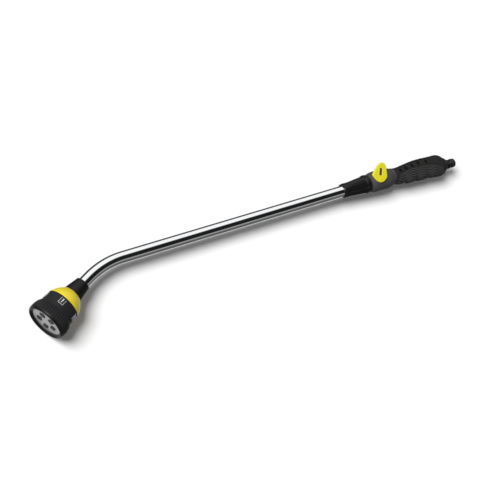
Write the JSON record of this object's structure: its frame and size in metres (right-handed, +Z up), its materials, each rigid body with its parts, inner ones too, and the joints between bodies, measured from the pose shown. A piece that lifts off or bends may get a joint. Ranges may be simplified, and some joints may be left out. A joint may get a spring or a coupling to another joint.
{
  "type": "watering wand",
  "caption": "Long chrome watering wand with a bent rotating multi-pattern spray head, yellow flow lever, soft grip and hose spigot.",
  "frame": {"origin": "middle of the lowest face of the wand as it lies on its side", "axes": "+X along the straight tube towards the hose end, +Y towards the lever side, +Z up"},
  "size_m": [0.876, 0.1228, 0.069],
  "materials": {
    "chrome_tube": "polished",
    "black_gloss": "glossy",
    "black_plastic": "fine texture",
    "yellow_plastic": "glossy",
    "silver_face": "satin",
    "pattern_grey": "satin",
    "dark_inlay": "satin",
    "soft_grip": "matt",
    "seal_rubber": "matt",
    "inner_grey": "satin",
    "seat_white": "satin",
    "steel": "brushed"
  },
  "bodies": {
    "wand": {"lance_tube": "chrome_tube", "collar_nut": "black_gloss", "ferrule_nut": "black_gloss", "valve_housing": "black_plastic", "grip_end_ring": "black_plastic", "hose_spigot": "black_plastic", "head_cone": "yellow_plastic", "grip_sleeve": "soft_grip", "grip_pads": "soft_grip", "collar_o_ring": "seal_rubber", "head_o_ring": "seal_rubber", "port_seal": "seal_rubber", "tube_o_ring": "seal_rubber", "spindle_o_rings": "seal_rubber", "core_o_ring": "seal_rubber", "spigot_o_ring": "seal_rubber", "head_body": "inner_grey", "handle_core": "inner_grey", "tube_bush": "inner_grey", "clamp_olive": "inner_grey", "seat_retainer": "inner_grey", "seat_front": "seat_white", "seat_rear": "seat_white", "seal_spring": "steel", "click_ball": "steel", "click_spring": "steel", "pivot_washer": "steel", "pivot_screw": "steel", "inlet_strainer": "steel"},
    "selector": {"turret_disc": "inner_grey", "selector_ring": "black_plastic", "pattern_icons": "pattern_grey", "face_plate": "silver_face", "face_bezel": "black_gloss", "jet_insert": "black_plastic", "cone_insert": "black_plastic", "mist_insert": "black_plastic", "flat_insert": "black_plastic", "shower_insert": "black_plastic"},
    "lever": {"flow_lever": "yellow_plastic", "lever_badge": "dark_inlay", "lever_screw": "steel", "screw_cap": "yellow_plastic", "lever_spindle": "steel", "valve_ball": "steel"}
  },
  "joints": [
    {"name": "pattern_selector", "type": "hinge", "parent": "wand", "child": "selector", "pos_m": [-0.40037, -0.0205, 0.0345], "axis": [-0.891, -0.454, 0], "continuous": true},
    {"name": "flow_lever_turn", "type": "hinge", "parent": "wand", "child": "lever", "pos_m": [0.25601, 0.03217, 0.0345], "axis": [0, 0, 1], "range_deg": [0, 90]}
  ]
}
